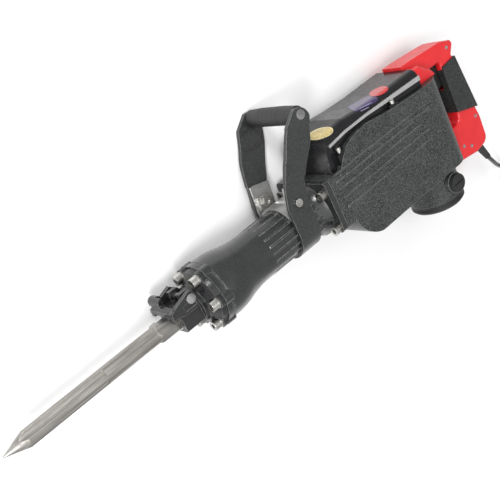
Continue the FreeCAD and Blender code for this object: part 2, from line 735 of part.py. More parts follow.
def make_end_cover():
    body = new_body("end_cover")
    outline = [(13.1, -d.drum_low), (d.drum_r, -d.drum_low), (d.drum_r, -146), (d.drum_r - 1.2, -147),
               (d.drum_r - 1.2, -149), (d.drum_r, -150), (d.drum_r, -154), (d.drum_r - 4, -d.end_low),
               (0, -d.end_low), (0, -150), (13.1, -150)]
    ring = sketch_on(body, "XY", [[(d.motor_x + a, b) for a, b in outline]])
    axis = ring.addGeometry(Part.LineSegment(Vector(605, -200, 0), Vector(605, 0, 0)), True)
    ring.addConstraint(Sketcher.Constraint("Vertical", axis))
    index = ring.addConstraint(Sketcher.Constraint("DistanceX", -1, 1, axis, 1, d.motor_x.value))
    ring.setExpression(f"Constraints[{index}]", d.motor_x.text)
    made = body.newObject("PartDesign::Revolution", "Revolution")
    made.Profile = ring
    made.ReferenceAxis = (ring, ["Axis0"])
    made.Angle = 360
    doc.recompute()
    places = [(d.motor_x + 38 * math.cos(a), 38 * math.sin(a), 4.2) for a in screw_angles()]
    holes = sketch_on(body, "XZ", circles=places, offset=d.end_low)
    extrude(body, "Pocket", holes, 6, back=False)
    return body


def screw_angles():
    return [math.radians(a) for a in (45, 135, 225, 315)]


def make_motor_details():
    screws = []
    for angle in screw_angles():
        at = (d.motor_x + 38 * math.cos(angle), -d.end_low + 5, 38 * math.sin(angle))
        head = cylinder(4, 4, at, "-Y")
        screws.append(cut(head, hexagon(4, 3, (at[0], -d.end_low + 1, at[2]), "Y")))
    piece(group(*screws), "end_cover_screws")
    holders, brushes, caps = [], [], []
    for sign, way in ((-1, "-Z"), (1, "Z")):
        start = (d.motor_x, d.brush_y, sign * 20.0)
        holder = cylinder(10, 42, start, way)
        channel = cylinder(5.2, 42, start, way)
        holders.append(cut(holder, channel))
        brush = (d.motor_x, d.brush_y, sign * 17.2)
        brushes.append(cylinder(5, 20, brush, way))
        cap = cylinder(17, 8, (d.motor_x, d.brush_y, sign * 62.0), way)
        slot = box((d.motor_x - 12, d.brush_y - 1.5, -66 - 30), (d.motor_x + 12, d.brush_y + 1.5, 66 + 30))
        inner = box((d.motor_x - 13, d.brush_y - 2, -67.5), (d.motor_x + 13, d.brush_y + 2, 67.5))
        caps.append(cut(cap, cut(slot, inner)))
    piece(group(*holders), "brush_holders")
    piece(group(*brushes), "carbon_brushes")
    piece(group(*caps), "brush_caps")


# ---------------------------------------------------------------- crankcase and top cover


cover_bolt_places = ((381, 81), (530, 92.4))
cover_bolt_z = 61.2
roof_line = [(352, 54), (366, 54), (378, 68), (396, 84), (425, 93), (456, 95), (507, 88), (538, 86), (605, 82)]


def make_crankcase():
    body = new_body("crankcase")
    side = [
        (d.flange_joint_x, -d.flange_low), (356, -d.flange_low), (402, -d.case_low, 60),
        (d.case_rear_x, -d.case_low), (d.case_rear_x, d.case_top), *roof_line[::-1],
        (d.flange_joint_x, d.flange_top),
    ]
    extrude(body, "Pad", sketch_on(body, "XY", [side]), 2 * d.half_width, both=True)
    fillet(body, d.rear_corner_r, lambda p: p.x > 667 and abs(p.z) > 65)
    fillet(body, 9, lambda p: p.x < 367 and abs(abs(p.z) - 66) < 0.1 and (p.y > 53 or p.y < -41))
    inner = d.half_width - d.wall
    opening = rectangle(352, -52, 612, 52)
    extrude(body, "Pocket", sketch_on(body, "XZ", [opening], offset=-100), 137, back=True)
    room = [(410, -inner), (624, -inner), (661, -22.5, 37), (661, 22.5), (624, inner, 37), (410, inner)]
    extrude(body, "Pocket", sketch_on(body, "XZ", [room], offset=80), 150)
    liner = sketch_on(body, "YZ", circles=[(0, 0, d.liner_r)], offset=320)
    extrude(body, "Pocket", liner, 60, back=True)
    motor = sketch_on(body, "XZ", circles=[(d.motor_x, 0, 47)], offset=70)
    extrude(body, "Pocket", motor, 40, back=True)
    sleeve = sketch_on(body, "XZ", circles=[(d.motor_x, 0, 51), (d.motor_x, 0, 47)], offset=82)
    extrude(body, "Pad", sleeve, 70, back=True)
    seat = sketch_on(body, "XZ", circles=[(d.motor_x, 0, 14.1)], offset=-78.5)
    extrude(body, "Pocket", seat, 12, back=True)
    threads = [(x, sign * cover_bolt_z, 3.35) for x, y in cover_bolt_places for sign in (-1, 1)]
    extrude(body, "Pocket", sketch_on(body, "XZ", circles=threads, offset=-100), 42, back=True)
    flange_holes(body, d.flange_joint_x, 22, 5.95)
    for y, x0, x1 in ((55, 348, 560), (42, 348, 556), (28, 348, 572), (11, 349, 586), (-7, 350, 584)):
        for z in (-68, 65.5):
            rib = sketch_on(body, "XY", [rectangle(x0, y - 1.3, x1, y + 1.3)], offset=z)
            extrude(body, "Pad", rib, 2.5)
    slot = [(534, 49), (592, 44), (616, 47), (612, 52), (570, 55)]
    extrude(body, "Pocket", sketch_on(body, "XY", [slot], offset=64), 5, back=True)
    extrude(body, "Pocket", sketch_on(body, "XY", [slot], offset=-64), 5)
    return body


def make_case_bolts():
    bolts = []
    for y in (-d.flange_bolt_y, d.flange_bolt_y):
        for z in (-d.flange_bolt_z, d.flange_bolt_z):
            bolts.append(socket_screw((d.flange_x, y, z), "-X", 5.9, 32, 8.6, 11))
    piece(group(*bolts), "case_bolts")


def make_top_cover():
    body = new_body("top_cover")
    side = [
        *roof_line, (d.cover_rear_x, 82), (d.cover_rear_x, d.cover_top - 5), (522, d.cover_top - 6),
        (468, d.cover_top - 4), (423, d.cover_top), (385, d.cover_top - 4), (360, 94, 34),
    ]
    extrude(body, "Pad", sketch_on(body, "XY", [side]), 2 * d.cover_half_z, both=True)
    fillet(body, 16, lambda p: p.y > 103.5 and abs(p.z) > 55 and p.x < 616)
    hollow = [(392, 60), (610, 60), (610, 111), (423, 115), (392, 110)]
    extrude(body, "Pocket", sketch_on(body, "XY", [hollow]), 98, both=True)
    lugs = [[(372, 61), (378, 68), (390, 78.66), (390, 84), (372, 78)],
            [(519, 87.25), (538, 86), (541, 85.83), (541, 92), (519, 93)]]
    for lug in lugs:
        for z in (-65.5, 55.5):
            extrude(body, "Pad", sketch_on(body, "XY", [lug], offset=z), 10)
    holes = [(x, sign * cover_bolt_z, 3.5) for x, y in cover_bolt_places for sign in (-1, 1)]
    extrude(body, "Pocket", sketch_on(body, "XZ", circles=holes, offset=-100), 50, back=True)
    return body


def make_cover_trim():
    rails = []
    for z in (-60, 56):
        body = doc.addObject("PartDesign::Body", "Body")
        line = [(368, 96), (410, 101), (466, 102), (615, 95), (615, 104), (466, 107), (410, 106), (368, 101)]
        extrude(body, "Pad", sketch_on(body, "XY", [line], offset=z), 4)
        rails.append(body)
    piece(group(*rails), "cover_rails")
    bolts = []
    for x, y in cover_bolt_places:
        for sign in (-1, 1):
            seat = y + 2.6 if x < 400 else y + 0.4
            bolts.append(socket_screw((x, seat, sign * cover_bolt_z), "Y", 3.3, 20, 4.8, 6))
    piece(group(*bolts), "cover_bolts")


# ---------------------------------------------------------------- side handle


def make_strap():
    """Steel band under the neck whose two arms spread upwards to the grip."""
    low = d.neck_r + 1
    outer = low + d.strap_t
    width = d.strap_rear_x - d.strap_front_x
    band = tube(outer, low, width, (d.strap_front_x, 0, 0), "X")
    parts = [cut(band, box((200, 0, -60), (320, 60, 60)))]
    edge = [
        (d.strap_front_x, -1), (d.strap_rear_x, -1), (d.strap_rear_x, 40), (298, 76), (312, 100), (334, 131),
        (349, 168), (323, 191, 22), (297, 172), (282, 143), (268, 118), (257, 88), (d.strap_front_x, 50),
    ]
    reach = d.rest_z
    for sign in (-1, 1):
        front = doc.addObject("PartDesign::Body", "Body")
        line = [
            (-0.5, low), (50, low + 1), (84, low + 4), (130, 58), (168, reach - 7, 150), (200, reach - 7),
            (200, reach), (168, reach), (130, 66, -150), (84, outer + 6), (84, outer + 4), (50, outer + 1),
            (-0.5, outer),
        ]
        mirrored = [(p[0], size(p[1]) * sign, *[sign * r for r in p[2:]]) for p in line]
        extrude(front, "Pad", sketch_on(front, "YZ", [mirrored], offset=d.strap_front_x - 10), 130)
        side = doc.addObject("PartDesign::Body", "Body")
        extrude(side, "Pad", sketch_on(side, "XY", [edge]), 160, both=True)
        parts.append(common(front, side))
    holes = [cylinder(5.1, 160, (d.clamp_bolt_x, d.clamp_bolt_y, -80), "Z"),
             cylinder(5.1, 160, (d.side_grip_x, d.side_grip_y, -80), "Z"),
             cylinder(8.2, 10, (d.side_grip_x, d.side_grip_y, d.rest_z - 3.4), "Z"),
             cylinder(8.2, 10, (d.side_grip_x, d.side_grip_y, -(d.rest_z - 3.4)), "-Z")]
    piece(cut(fuse(*parts), *holes), "handle_strap")


def make_saddle():
    """Zinc clamp over the top of the neck; its two ears lie inside the strap's arms."""
    low = d.neck_r + 1
    band = tube(low + 4, low, 40, (d.strap_front_x + 2, 0, 0), "X")
    band = cut(band, box((200, -60, -60), (320, 26, 60)))
    ears = []
    for sign in (-1, 1):
        side = doc.addObject("PartDesign::Body", "Body")
        ear = [(26, sign * 42.4), (26, sign * 38.2), (84, sign * 44), (84, sign * 48.2)]
        extrude(side, "Pad", sketch_on(side, "YZ", [ear], offset=d.strap_front_x + 2), 60)
        shape = doc.addObject("PartDesign::Body", "Body")
        face = [(249, 20), (290, 20), (290, 40), (297, 76), (264, 84), (257, 84), (249, 40)]
        extrude(shape, "Pad", sketch_on(shape, "XY", [face]), 120, both=True)
        ears.append(common(side, shape))
    holes = cylinder(5.1, 160, (d.clamp_bolt_x, d.clamp_bolt_y, -80), "Z")
    piece(cut(fuse(band, *ears), holes, cylinder(low, 200, (200, 0, 0), "X")), "handle_saddle")


def make_handle_fasteners():
    bolts = []
    for sign, way in ((-1, "-Z"), (1, "Z")):
        x, y = d.clamp_bolt_x, d.clamp_bolt_y
        shank = cylinder(5, 21, (x, y, sign * 34.0), way)
        head = cylinder(7, 4, (x, y, sign * 51.4), way)
        plate = rounded(box((x - 14, y - 13, sign * 38.5 - 2), (x + 14, y + 13, sign * 38.5 + 2)), 5,
                        lambda p: abs(p.x - 270) > 13.9 and abs(p.y - 50) > 12.9)
        plate.Placement = Placement(Vector(), Rotation(Vector(1, 0, 0), 5.71 * sign), Vector(270, 50, 38.5 * sign))
        nut = hexagon(16, 5, (x, y, sign * 36.4), "-Z" if sign > 0 else "Z")
        bolts += [fuse(shank, head), cut(fuse(plate, nut), cylinder(5.0, 160, (x, y, -80), "Z"))]
    piece(group(*bolts), "clamp_bolts")
    x, y = d.side_grip_x, d.side_grip_y
    middle = cylinder(16.2, 60, (x, y, -30), "Z")
    sleeve = fuse(middle, cone(16.2, 14.6, 31.7, (x, y, 30)), cone(16.2, 14.6, 31.7, (x, y, -30), "-Z"))
    grooves = [tube(18, 15.4, 1.2, (x, y, z - 0.6), "Z") for z in range(-24, 25, 12)]
    grip = cut(sleeve, *grooves, cylinder(8, 130, (x, y, -65), "Z"))
    piece(grip, "side_grip")
    ends = []
    for sign, way in ((-1, "-Z"), (1, "Z")):
        head = cylinder(8, 3.4, (x, y, sign * 66.6), way)
        ends.append(fuse(head, cylinder(5, 6, (x, y, sign * 61.7), way)))
    core = cylinder(7.9, 123.4, (x, y, -61.7), "Z")
    piece(fuse(core, *ends), "grip_rod")


# ---------------------------------------------------------------- rear handle

handle_screw_places = ((743, 100), (755, -52), (698, -88), (718, -98))


def rear_handle_half(name, sign):
    body = new_body(name)
    outer = [
        (d.case_rear_x, -86), (686, -112), (729, -118), (753, -114), (768, -98, 20), (769, -58), (765, -34),
        (751, 83), (762, 98), (760, 108, 9), (734, 117), (640, 123), (d.cover_rear_x, 123),
        (d.cover_rear_x, d.case_top), (d.case_rear_x, d.case_top), (d.case_rear_x, 51), (690, 84, -23.83),
        (706, 84), (d.grip_front_x, 78, -6), (d.grip_front_x, -26), (696, -d.flange_low, -16),
        (d.case_rear_x, -d.flange_low),
    ]
    extrude(body, "Pad", sketch_on(body, "XY", [outer]), d.handle_half_z, back=sign < 0)
    reach = d.handle_half_z.value
    fillet(body, 6, lambda p: abs(abs(p.z) - reach) < 0.1 and p.x > 669)
    foot = [(d.cover_rear_x, d.case_top), (666, d.case_top), (662, 96), (640, 112), (d.cover_rear_x, 114)]
    extrude(body, "Pad", sketch_on(body, "XY", [foot]), 2 * d.handle_half_z, back=sign < 0)
    fillet(body, 12, lambda p: abs(abs(p.z) - 2 * reach) < 0.1 and p.y > 83)
    room = [(716, -100), (752, -100), (756, -60), (742, 80), (740, 104), (690, 108), (690, 96), (718, 90), (720, 0)]
    extrude(body, "Pocket", sketch_on(body, "XY", [room]), 17, back=sign > 0)
    window = rectangle(676, 28, 728, 93)
    extrude(body, "Pocket", sketch_on(body, "XY", [window]), 11.5, back=sign > 0)
    mouth = sketch_on(body, "XZ", circles=[(755, 0, 9)], offset=118)
    extrude(body, "Pocket", mouth, 22)
    level = d.handle_half_z - 2.6
    seats = sketch_on(body, "XY", circles=[(x, y, 3.7) for x, y in handle_screw_places], offset=level * sign)
    extrude(body, "Pocket", seats, 10, back=sign > 0)
    return body


def make_rear_handle():
    rear_handle_half("rear_handle_near", 1)
    rear_handle_half("rear_handle_far", -1)
    grip = doc.addObject("PartDesign::Body", "Body")
    pad_line = [(d.grip_front_x - 1.5, -20), (767, -36), (753, 78), (713, 74), (d.grip_front_x - 1.5, 60)]
    extrude(grip, "Pad", sketch_on(grip, "XY", [pad_line]), 54, both=True)
    inside = doc.addObject("PartDesign::Body", "Body")
    core = [(d.grip_front_x, -60), (769, -58), (765, -34), (751, 83), (751, 100), (d.grip_front_x, 100)]
    extrude(inside, "Pad", sketch_on(inside, "XY", [core]), 48, both=True)
    slot = box((690, 28, -12), (730, 90, 12))
    piece(cut(grip, inside, slot), "rear_grip")


def make_trigger():
    body = new_body("trigger")
    lever = [(724, 88), (693, 88), (691, 66), (684, 46), (688, 37), (698, 34), (714, 40), (726, 46)]
    extrude(body, "Pad", sketch_on(body, "XY", [lever]), 20, both=True)
    fillet(body, 1.5, lambda p: abs(abs(p.z) - 10) < 0.1 and p.x < 700)
    pivot = sketch_on(body, "XY", circles=[(722, 84, 1.5)])
    extrude(body, "Pocket", pivot, 30, both=True)
    piece(box((736, 36, -17), (742, 76, 17)), "switch_unit")
    return body


def make_handle_screws():
    screws = []
    for x, y in handle_screw_places:
        for sign, way in ((-1, "-Z"), (1, "Z")):
            at = (x, y, sign * (d.handle_half_z.value - 2.5))
            head = cylinder(3.6, 2.3, at, way)
            screws.append(cut(head, hexagon(3.4, 2, (x, y, sign * (d.handle_half_z.value - 1.2)), way)))
    piece(group(*screws), "handle_screws")


# ---------------------------------------------------------------- cord

cord_route = [
    (779, -157, -4), (796, -178, -11), (817, -198, -24), (843, -217, -41), (874, -235, -56), (909, -249, -65.2),
    (947, -257.5, -65.3),
]
guard_exit = (755, -112, 0)
coil_centre = (955, -318)
coil_mean_r = 52


def rounded_path(points, share):
    """Straight runs joined by tangent arcs; each radius uses a share of the shorter of its two runs."""
    corners = [Vector(*p) for p in points]
    edges, radii = [], []
    start = corners[0]
    for before, corner, after in zip(corners, corners[1:], corners[2:]):
        into, out = (corner - before), (after - corner)
        turn = into.getAngle(out)
        setback = share * min(into.Length, out.Length)
        first = corner - into.normalize() * setback
        last = corner + out.normalize() * setback
        bisector = (first + last) / 2 - corner
        radius = setback / math.tan(turn / 2)
        radii.append(radius)
        reach = math.hypot(setback, radius) - radius
        middle = corner + bisector.normalize() * reach
        edges.append(Part.LineSegment(start, first).toShape())
        edges.append(Part.Arc(first, middle, last).toShape())
        start = last
    edges.append(Part.LineSegment(start, corners[-1]).toShape())
    return Part.Wire(edges), radii


def swept_tube(wire, radius):
    start = wire.Edges[0]
    direction = start.tangentAt(start.FirstParameter)
    section = Part.Wire(Part.makeCircle(radius, start.valueAt(start.FirstParameter), direction))
    return wire.makePipeShell([section], True, False)


def make_cord():
    exit_point = Vector(*guard_exit)
    mouth = Vector(*cord_route[0])
    aim = (mouth - exit_point).normalize()
    length = (mouth - exit_point).Length
    guard = Part.makeCone(8.9, 6.2, length, exit_point, aim)
    root = Part.makeCylinder(8.95, 15, exit_point, Vector(0, 1, 0))
    guard = guard.fuse([root, Part.makeSphere(8.95, exit_point)])
    piece(shape_feature(guard.removeSplitter(), (0, 0, 0)), "cord_guard")
    wire, radii = rounded_path(cord_route, 0.45)
    tube_solid = swept_tube(wire, d.cord_d.value / 2)
    expected = math.pi * (d.cord_d.value / 2) ** 2 * wire.Length
    print("cord arc radii", [round(r) for r in radii], "length", round(wire.Length))
    print("cord volume over section times length", round(tube_solid.Volume / expected, 4))
    piece(shape_feature(tube_solid, (0, 0, 0)), "power_cord")
    x, y = coil_centre
    half = 1.5 * d.cord_d.value
    low = -d.rest_z.value
    coil = tube(coil_mean_r + half, coil_mean_r - half, 2 * d.cord_d.value, (x, y, low))
    piece(coil, "cord_coil")


def make_plug():
    x, y = 1037, -257
    low = -d.rest_z
    shell = [(x - 24, y - 10), (x + 6, y - 19), (x + 16, y - 19), (x + 16, y + 19), (x + 6, y + 19), (x - 24, y + 10)]
    body = doc.addObject("PartDesign::Body", "Body")
    extrude(body, "Pad", sketch_on(body, "XY", [shell], offset=low), 30)
    fillet(body, 5, lambda p: p.z > -41)
    grommet = cone(6.5, 9.5, 34, (x - 56, y, low + 15), "X")
    holes = [cylinder(2, 16, (x, y + side, low + 15), "X") for side in (-9.5, 9.5)]
    piece(cut(fuse(body, grommet), *holes), "mains_plug")
    pins = []
    for side in (-9.5, 9.5):
        root = cylinder(2, 16.5, (x, y + side, low + 15), "X")
        pins.append(fuse(root, cylinder(2.4, 19, (x + 16, y + side, low + 15), "X")))
    piece(group(*pins), "plug_pins")


# ---------------------------------------------------------------- build and write

make_chisel()
make_front_cover()
make_socket_parts()
make_retainer()
make_front_fasteners()
make_cylinder_case()
make_percussion_line()
make_connecting_rod()
make_gear_train()
make_bearings()
make_carriers()
make_motor()
make_motor_housing()
make_end_cover()
make_motor_details()
make_crankcase()
make_case_bolts()
make_top_cover()
make_cover_trim()
make_strap()
make_saddle()
make_handle_fasteners()
make_rear_handle()
make_trigger()
make_handle_screws()
make_cord()
make_plug()

doc.recompute()
for item in doc.Objects:
    if "Invalid" in item.State or "Error" in item.State:
        raise RuntimeError(f"{item.Label}: {item.State}")
os.makedirs("parts", exist_ok=True)
for made in pieces:
    if made.Shape.isNull() or not made.Shape.isValid() or not made.Shape.Solids:
        raise RuntimeError(f"{made.Label} has no valid solid")
for made in pieces:
    made.Shape.exportStep(f"parts/{made.Label}.step")
print(len(pieces), "pieces written")
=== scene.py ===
import json
import math

import bpy
from mathutils import Matrix, Vector
from mathutils.bvhtree import BVHTree


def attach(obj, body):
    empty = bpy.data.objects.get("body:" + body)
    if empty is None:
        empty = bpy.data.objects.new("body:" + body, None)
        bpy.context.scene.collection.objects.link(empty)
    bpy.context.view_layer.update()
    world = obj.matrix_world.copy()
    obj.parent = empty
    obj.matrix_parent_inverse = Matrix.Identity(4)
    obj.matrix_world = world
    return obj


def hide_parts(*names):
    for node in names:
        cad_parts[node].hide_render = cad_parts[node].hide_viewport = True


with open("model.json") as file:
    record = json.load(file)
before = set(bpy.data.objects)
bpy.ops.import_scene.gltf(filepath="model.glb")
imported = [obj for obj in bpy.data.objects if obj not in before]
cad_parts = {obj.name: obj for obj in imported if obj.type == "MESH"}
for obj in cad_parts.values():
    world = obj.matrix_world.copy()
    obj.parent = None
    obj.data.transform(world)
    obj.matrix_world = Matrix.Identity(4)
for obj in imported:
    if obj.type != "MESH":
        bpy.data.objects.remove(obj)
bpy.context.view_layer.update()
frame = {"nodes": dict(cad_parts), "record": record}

nodes = frame["nodes"]
scene = bpy.context.scene
FLOOR_Z = -0.070
FLOOR_GAP = 0.0004
FLOOR_SPAN = 9.0
LOW_GLOSS = 0.28

# ---------------------------------------------------------------- camera

CAMERA_AT = Vector((-0.4968, 0.5662, 1.1820))
CAMERA_RIGHT = Vector((0.69491, -0.41193, 0.58942))
CAMERA_UP = Vector((0.55321, 0.82990, -0.07222))
CAMERA_BACK = Vector((-0.45941, 0.37626, 0.80459))

camera_data = bpy.data.cameras.new("Camera")
camera_data.lens = 63.93
camera_data.sensor_width = 36.0
camera = bpy.data.objects.new("Camera", camera_data)
scene.collection.objects.link(camera)
axes = Matrix((CAMERA_RIGHT, CAMERA_UP, CAMERA_BACK)).transposed().to_4x4()
camera.matrix_world = Matrix.Translation(CAMERA_AT) @ axes
scene.camera = camera


# ---------------------------------------------------------------- material helpers


class Shader:
    """A node material with a few short ways to add nodes."""

    def __init__(self, name, color, rough, metallic=0.0):
        self.material = bpy.data.materials.new(name)
        self.material.use_nodes = True
        self.tree = self.material.node_tree
        self.bsdf = self.tree.nodes["Principled BSDF"]
        self.bsdf.inputs["Base Color"].default_value = (*color, 1)
        self.bsdf.inputs["Roughness"].default_value = rough
        self.bsdf.inputs["Metallic"].default_value = metallic
        self.place = self.tree.nodes.new("ShaderNodeTexCoord").outputs["Object"]
        self.normal = None

    def link(self, a, b):
        self.tree.links.new(a, b)

    def node(self, kind, **inputs):
        made = self.tree.nodes.new(kind)
        for key, value in inputs.items():
            socket = made.inputs[key.replace("_", " ")]
            if hasattr(value, "is_linked"):
                self.link(value, socket)
            else:
                socket.default_value = value
        return made

    def stretched(self, factors):
        made = self.node("ShaderNodeMapping", Vector=self.place, Scale=factors)
        return made.outputs["Vector"]

    def noise(self, scale, detail=3.0, rough=0.55, at=None):
        inputs = {"Vector": at or self.place, "Scale": scale, "Detail": detail, "Roughness": rough}
        return self.node("ShaderNodeTexNoise", **inputs).outputs["Fac"]

    def cells(self, scale, smooth=0.4, at=None):
        made = self.tree.nodes.new("ShaderNodeTexVoronoi")
        made.feature = "SMOOTH_F1"
        self.link(at or self.place, made.inputs["Vector"])
        made.inputs["Scale"].default_value = scale
        made.inputs["Smoothness"].default_value = smooth
        return made.outputs["Distance"]

    def ramp(self, factor, *stops):
        made = self.tree.nodes.new("ShaderNodeValToRGB")
        self.link(factor, made.inputs["Fac"])
        for k, (position, value) in enumerate(stops):
            if k < 2:
                stop = made.color_ramp.elements[k]
                stop.position = position
            else:
                stop = made.color_ramp.elements.new(position)
            stop.color = (*value, 1) if isinstance(value, tuple) else (value, value, value, 1)
        return made.outputs["Color"]

    def mix(self, factor, a, b):
        made = self.tree.nodes.new("ShaderNodeMix")
        made.data_type = "RGBA"
        for socket, value in ((made.inputs[0], factor), (made.inputs[6], a), (made.inputs[7], b)):
            if hasattr(value, "is_linked"):
                self.link(value, socket)
            else:
                socket.default_value = (*value, 1) if isinstance(value, tuple) else value
        return made.outputs[2]

    def math(self, kind, a, b=0.5):
        made = self.tree.nodes.new("ShaderNodeMath")
        made.operation = kind
        for socket, value in zip(made.inputs, (a, b)):
            if hasattr(value, "is_linked"):
                self.link(value, socket)
            else:
                socket.default_value = value
        return made.outputs[0]

    def soft_edges(self, radius):
        """Rounds the look of sharp edges and keeps a mask of where they are."""
        made = self.tree.nodes.new("ShaderNodeBevel")
        made.samples = 6
        made.inputs["Radius"].default_value = radius
        self.normal = made.outputs["Normal"]
        flat = self.tree.nodes.new("ShaderNodeNewGeometry").outputs["Normal"]
        dot = self.tree.nodes.new("ShaderNodeVectorMath")
        dot.operation = "DOT_PRODUCT"
        self.link(made.outputs["Normal"], dot.inputs[0])
        self.link(flat, dot.inputs[1])
        return self.ramp(dot.outputs["Value"], (0.86, 1.0), (0.985, 0.0))

    def bump(self, height, strength, distance):
        made = self.tree.nodes.new("ShaderNodeBump")
        made.inputs["Strength"].default_value = strength
        made.inputs["Distance"].default_value = distance
        self.link(height, made.inputs["Height"])
        if self.normal:
            self.link(self.normal, made.inputs["Normal"])
        self.normal = made.outputs["Normal"]
        return self

    def finish(self, color=None, rough=None):
        if color is not None:
            self.link(color, self.bsdf.inputs["Base Color"])
        if rough is not None:
            self.link(rough, self.bsdf.inputs["Roughness"])
        if self.normal:
            self.link(self.normal, self.bsdf.inputs["Normal"])
        return self.material


def hammered_paint(name, base, light, grain, strength, rough, coat=0.0):
    """Wrinkle paint on a casting: fine raised grain, lighter clouds and lighter edges, partly rubbed wear
    and partly a painted highlight on edges and ribs.
    """
    s = Shader(name, base, rough)
    edge = s.soft_edges(0.0011)
    fine = s.noise(grain, 4, 0.65)
    cells = s.cells(grain * 0.55)
    cloudy = s.noise(22, 3)
    tone = s.mix(s.ramp(fine, (0.44, 0.0), (0.66, 1.0)), base, light)
    tone = s.mix(s.math("MULTIPLY", s.ramp(cloudy, (0.40, 0.0), (0.72, 1.0)), 0.16), tone, light)
    # Edges lightened toward grey: partly rubbed paint wear, partly a painted highlight that picks out the
    # edges and ribs.
    rub_and_highlight = s.math("MULTIPLY", edge, s.ramp(s.noise(160, 3), (0.38, 0.35), (0.62, 0.95)))
    tone = s.mix(rub_and_highlight, tone, (0.36, 0.37, 0.35))
    s.bump(cells, strength * 0.8, 0.0005)
    s.bump(fine, strength, 0.0004)
    low, high = rough - 0.08, rough + 0.12
    s.bsdf.inputs["Coat Weight"].default_value = coat
    s.bsdf.inputs["Coat Roughness"].default_value = 0.16
    return s.finish(tone, s.ramp(cloudy, (0.3, low), (0.75, high)))


def machined(name, base, dark, rough, along=(1, 1, 1), scratches=0.25, edge_tone=(0.8, 0.8, 0.8)):
    """Bare or plated metal with fine tool marks, uneven tarnish and bright edges."""
    s = Shader(name, base, rough, 1.0)
    edge = s.soft_edges(0.0006)
    marks = s.noise(900, 2, 0.6, s.stretched(along))
    cloud = s.noise(45, 4)
    tone = s.mix(s.ramp(cloud, (0.38, 1.0), (0.62, 0.0)), base, dark)
    tone = s.mix(s.math("MULTIPLY", marks, 0.35), tone, dark)
    tone = s.mix(s.math("MULTIPLY", edge, 0.6), tone, edge_tone)
    s.bump(marks, scratches, 0.0002)
    return s.finish(tone, s.ramp(cloud, (0.3, rough + 0.1), (0.7, max(rough - 0.06, 0.08))))


def moulded(name, base, light, rough, grain=1400, strength=0.15, coat=0.0, edge_tone=None):
    """Moulded plastic or rubber with a spark-eroded grain."""
    s = Shader(name, base, rough)
    edge = s.soft_edges(0.0012)
    fine = s.noise(grain, 3, 0.6)
    cloud = s.noise(30, 3)
    tone = s.mix(s.math("MULTIPLY", s.ramp(cloud, (0.35, 0.0), (0.7, 1.0)), 0.5), base, light)
    tone = s.mix(s.math("MULTIPLY", edge, 0.45), tone, edge_tone or light)
    s.bump(fine, strength, 0.0002)
    s.bsdf.inputs["Coat Weight"].default_value = coat
    s.bsdf.inputs["Coat Roughness"].default_value = 0.1
    return s.finish(tone, s.ramp(s.noise(60, 3), (0.3, rough - 0.05), (0.7, rough + 0.08)))


# ---------------------------------------------------------------- materials by slot


def chisel_steel():
    s = Shader("bit_steel", (0.42, 0.40, 0.37), 0.36, 1.0)
    edge = s.soft_edges(0.0008)
    streaks = s.noise(260, 4, 0.6, s.stretched((0.06, 1, 1)))
    cloud = s.noise(26, 5, 0.6, s.stretched((0.35, 1, 1)))
    tone = s.mix(s.ramp(streaks, (0.3, 0.0), (0.7, 1.0)), (0.21, 0.20, 0.185), (0.40, 0.385, 0.36))
    tone = s.mix(s.ramp(cloud, (0.5, 0.0), (0.72, 0.55)), tone, (0.16, 0.15, 0.14))
    ends = s.node("ShaderNodeSeparateXYZ", Vector=s.place).outputs["X"]
    tone = s.mix(s.ramp(s.math("ADD", ends, 0.4), (0.06, 0.35), (0.11, 0.0)), tone, (0.75, 0.73, 0.70))
    tone = s.mix(s.math("MULTIPLY", edge, 0.5), tone, (0.8, 0.78, 0.74))
    s.bump(streaks, 0.30, 0.0002)
    s.bump(s.noise(150, 5), 0.25, 0.0003)
    return s.finish(tone, s.ramp(cloud, (0.3, 0.30), (0.7, 0.52)))


def rubber_grip():
    """Rear grip: matt rubber with a close grid of small pimples."""
    s = Shader("rear_grip_rubber", (0.022, 0.024, 0.023), 0.62)
    s.soft_edges(0.0015)
    pimples = s.cells(330, 0.25)
    tone = s.ramp(pimples, (0.1, (0.045, 0.050, 0.047)), (0.5, (0.012, 0.013, 0.013)))
    s.bump(pimples, 0.8, 0.0009)
    return s.finish(tone)


def wound_copper():
    s = Shader("copper", (0.60, 0.25, 0.10), 0.32, 1.0)
    wires = s.tree.nodes.new("ShaderNodeTexWave")
    wires.bands_direction = "Y"
    s.link(s.place, wires.inputs["Vector"])
    wires.inputs["Scale"].default_value = 260
    wires.inputs["Distortion"].default_value = 0.6
    tone = s.ramp(wires.outputs["Fac"], (0.1, (0.16, 0.05, 0.02)), (0.6, (0.62, 0.27, 0.11)))
    s.bump(wires.outputs["Fac"], 0.7, 0.0005)
    return s.finish(tone)


def laminated_iron():
    s = Shader("motor_iron", (0.18, 0.17, 0.165), 0.42, 1.0)
    sheets = s.tree.nodes.new("ShaderNodeTexWave")
    sheets.bands_direction = "Y"
    s.link(s.place, sheets.inputs["Vector"])
    sheets.inputs["Scale"].default_value = 320
    sheets.inputs["Distortion"].default_value = 0.1
    tone = s.ramp(sheets.outputs["Fac"], (0.2, (0.08, 0.075, 0.07)), (0.7, (0.27, 0.26, 0.25)))
    s.bump(sheets.outputs["Fac"], 0.5, 0.0003)
    return s.finish(tone)


